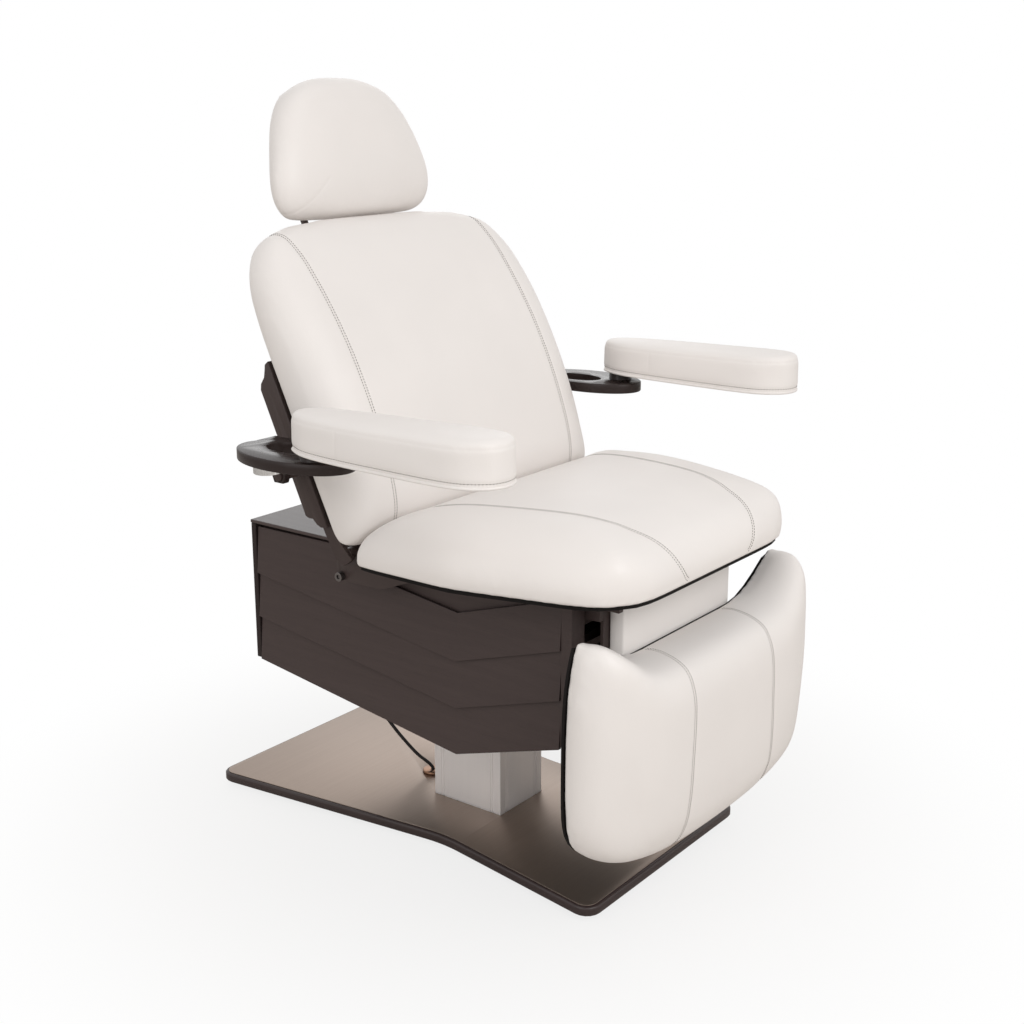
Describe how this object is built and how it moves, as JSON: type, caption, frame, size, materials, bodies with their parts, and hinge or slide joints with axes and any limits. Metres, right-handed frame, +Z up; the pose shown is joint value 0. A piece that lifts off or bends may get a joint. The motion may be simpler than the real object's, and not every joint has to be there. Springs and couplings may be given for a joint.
{
  "type": "spa treatment chair",
  "caption": "Padded treatment chair on a lifting column: reclining back, lifting leg rest, level swivelling arms, sliding headrest, louvred cabinet and waisted floor plate.",
  "frame": {"origin": "centre of the whole object's footprint on the floor", "axes": "+Z up, the sitter faces -Y, the sitter's left is +X"},
  "size_m": [1.055, 1.0658, 1.4277],
  "materials": {
    "white_vinyl": "soft matt vinyl",
    "black_board": "black edge",
    "espresso_wood": "matt espresso laminate",
    "silver_aluminium": "satin anodised",
    "black_rubber": "matt",
    "black_plastic": "matt",
    "bronze_sheet": "brushed bronze",
    "copper_gland": "satin",
    "bright_chrome": "polished",
    "plain_steel": "plain",
    "dark_metal": "satin dark brown paint"
  },
  "bodies": {
    "base": {"base_plate": "dark_metal", "base_sheet": "bronze_sheet", "cord_gland": "copper_gland", "levelling_foot_1": "black_rubber", "levelling_foot_2": "black_rubber", "levelling_foot_3": "black_rubber", "levelling_foot_4": "black_rubber", "column_outer": "silver_aluminium", "column_guide": "black_plastic", "lift_motor": "plain_steel", "power_cord": "black_rubber"},
    "lift": {"column_inner": "silver_aluminium", "column_head_plate": "dark_metal", "cabinet_panel_left": "espresso_wood", "cabinet_panel_right": "espresso_wood", "louvre_left_1": "espresso_wood", "louvre_left_2": "espresso_wood", "louvre_left_3": "espresso_wood", "louvre_right_1": "espresso_wood", "louvre_right_2": "espresso_wood", "louvre_right_3": "espresso_wood", "cabinet_rear_panel": "espresso_wood", "cabinet_top_panel": "espresso_wood", "cabinet_front_panel": "espresso_wood", "control_box": "black_plastic", "chassis_frame": "dark_metal", "seat_frame": "dark_metal", "leg_shaft": "plain_steel", "recline_cheek_left": "dark_metal", "recline_cheek_right": "dark_metal", "cheek_bolt_left": "bright_chrome", "cheek_bolt_right": "bright_chrome", "seat_board": "black_board", "seat_cushion": "white_vinyl", "back_drive": "plain_steel", "leg_drive": "plain_steel"},
    "back": {"back_board": "black_board", "back_cushion": "white_vinyl", "back_frame": "dark_metal", "arm_rail_left": "dark_metal", "arm_rail_right": "dark_metal"},
    "headrest_slide": {"headrest_post_left": "dark_metal", "headrest_post_right": "dark_metal", "headrest_bracket": "dark_metal"},
    "headrest": {"headrest_hinge": "dark_metal", "headrest_cushion": "white_vinyl"},
    "leg": {"leg_frame": "dark_metal", "leg_panel": "white_vinyl", "leg_rest_board": "black_board", "leg_rest_cushion": "white_vinyl"},
    "back_rod": {"back_rod": "plain_steel"},
    "leg_rod": {"leg_rod": "plain_steel"},
    "arm_left": {"arm_plate_left": "dark_metal"},
    "pad_left": {"arm_pad_left": "white_vinyl"},
    "knob_left": {"arm_knob_left": "bright_chrome"},
    "arm_right": {"arm_plate_right": "dark_metal"},
    "pad_right": {"arm_pad_right": "white_vinyl"},
    "knob_right": {"arm_knob_right": "bright_chrome"}
  },
  "joints": [
    {"name": "lift", "type": "slide", "parent": "base", "child": "lift", "axis": [0, 0, 1], "range_m": [-0.05, 0.2], "deforming": ["power_cord"]},
    {"name": "back_recline", "type": "hinge", "parent": "lift", "child": "back", "pos_m": [0, 0.09595, 0.6], "axis": [-1, 0, 0], "range_deg": [0, 58]},
    {"name": "headrest_height", "type": "slide", "parent": "back", "child": "headrest_slide", "axis": [0, 0.4226, 0.9063], "range_m": [0, 0.08]},
    {"name": "headrest_tilt", "type": "hinge", "parent": "headrest_slide", "child": "headrest", "pos_m": [0, 0.4247, 1.25768], "axis": [-1, 0, 0], "range_deg": [0, 25]},
    {"name": "leg_lift", "type": "hinge", "parent": "lift", "child": "leg", "pos_m": [0, -0.40705, 0.58], "axis": [-1, 0, 0], "range_deg": [0, 85]},
    {"name": "back_rod_slide", "type": "slide", "parent": "lift", "child": "back_rod", "axis": [0, -1, 0], "range_m": [0, 0.083]},
    {"name": "leg_rod_slide", "type": "slide", "parent": "lift", "child": "leg_rod", "axis": [0, -1, 0], "range_m": [0, 0.109]},
    {"name": "arm_level_left", "type": "hinge", "parent": "back", "child": "arm_left", "pos_m": [0.3765, 0.19, 0.74372], "axis": [-1, 0, 0], "range_deg": [-58, 0]},
    {"name": "arm_swivel_left", "type": "hinge", "parent": "arm_left", "child": "pad_left", "pos_m": [0.462, 0.02095, 0.814], "axis": [0, 0, 1], "range_deg": [0, 80]},
    {"name": "arm_knob_turn_left", "type": "hinge", "parent": "arm_left", "child": "knob_left", "pos_m": [0.48, 0.11595, 0.794], "axis": [0, 0, 1], "continuous": true},
    {"name": "arm_level_right", "type": "hinge", "parent": "back", "child": "arm_right", "pos_m": [-0.3765, 0.19, 0.74372], "axis": [-1, 0, 0], "range_deg": [-58, 0]},
    {"name": "arm_swivel_right", "type": "hinge", "parent": "arm_right", "child": "pad_right", "pos_m": [-0.462, 0.02095, 0.814], "axis": [0, 0, -1], "range_deg": [0, 80]},
    {"name": "arm_knob_turn_right", "type": "hinge", "parent": "arm_right", "child": "knob_right", "pos_m": [-0.48, 0.11595, 0.794], "axis": [0, 0, 1], "continuous": true}
  ],
  "couplings": [
    {"joint": "arm_level_left", "follows": "back_recline", "ratio": -1},
    {"joint": "arm_level_right", "follows": "back_recline", "ratio": -1},
    {"joint": "back_rod_slide", "follows": "back_recline", "m_per_rad": 0.081417},
    {"joint": "leg_rod_slide", "follows": "leg_lift", "m_per_rad": 0.072838}
  ]
}
